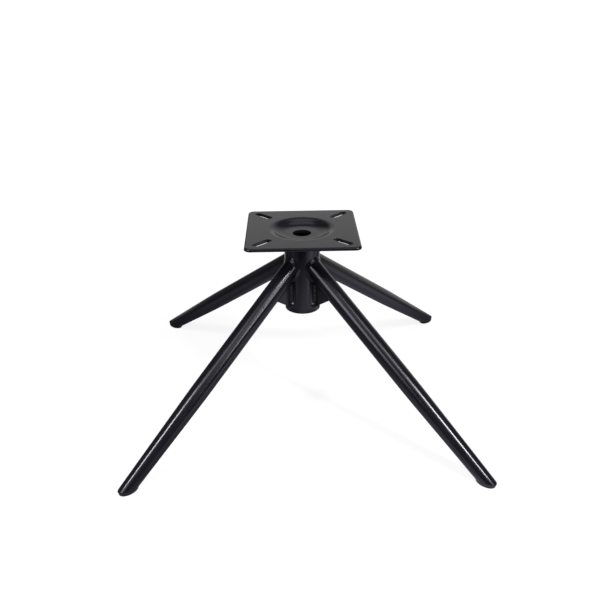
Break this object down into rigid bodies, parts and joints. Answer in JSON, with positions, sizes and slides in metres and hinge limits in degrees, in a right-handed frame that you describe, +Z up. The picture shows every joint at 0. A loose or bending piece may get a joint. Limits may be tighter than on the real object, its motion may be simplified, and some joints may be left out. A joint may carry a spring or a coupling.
{
  "type": "fixed chair base",
  "caption": "Fixed welded steel chair base: square dished seat plate with diagonal slots on a round hub tube, splayed tapered tube legs with gussets and plastic foot glides, satin black.",
  "frame": {"origin": "on the floor, under the axis of the hub tube", "axes": "+Z up along the hub axis, X and Y along the edges of the seat plate, the chair faces -Y and the legs lie on the diagonals"},
  "size_m": [0.5614, 0.5614, 0.3123],
  "materials": {
    "black_steel": "satin black powder coat",
    "glide_plastic": "matt black moulded plastic"
  },
  "bodies": {
    "root": {"seat_plate": "black_steel", "hub_tube": "black_steel", "plate_weld": "black_steel", "leg_front_left": "black_steel", "leg_weld_front_left": "black_steel", "gusset_front_left": "black_steel", "gusset_weld_front_left": "black_steel", "foot_glide_front_left": "glide_plastic", "leg_front_right": "black_steel", "leg_weld_front_right": "black_steel", "gusset_front_right": "black_steel", "gusset_weld_front_right": "black_steel", "foot_glide_front_right": "glide_plastic", "leg_rear_left": "black_steel", "leg_weld_rear_left": "black_steel", "gusset_rear_left": "black_steel", "gusset_weld_rear_left": "black_steel", "foot_glide_rear_left": "glide_plastic", "leg_rear_right": "black_steel", "leg_weld_rear_right": "black_steel", "gusset_rear_right": "black_steel", "gusset_weld_rear_right": "black_steel", "foot_glide_rear_right": "glide_plastic"}
  },
  "joints": []
}
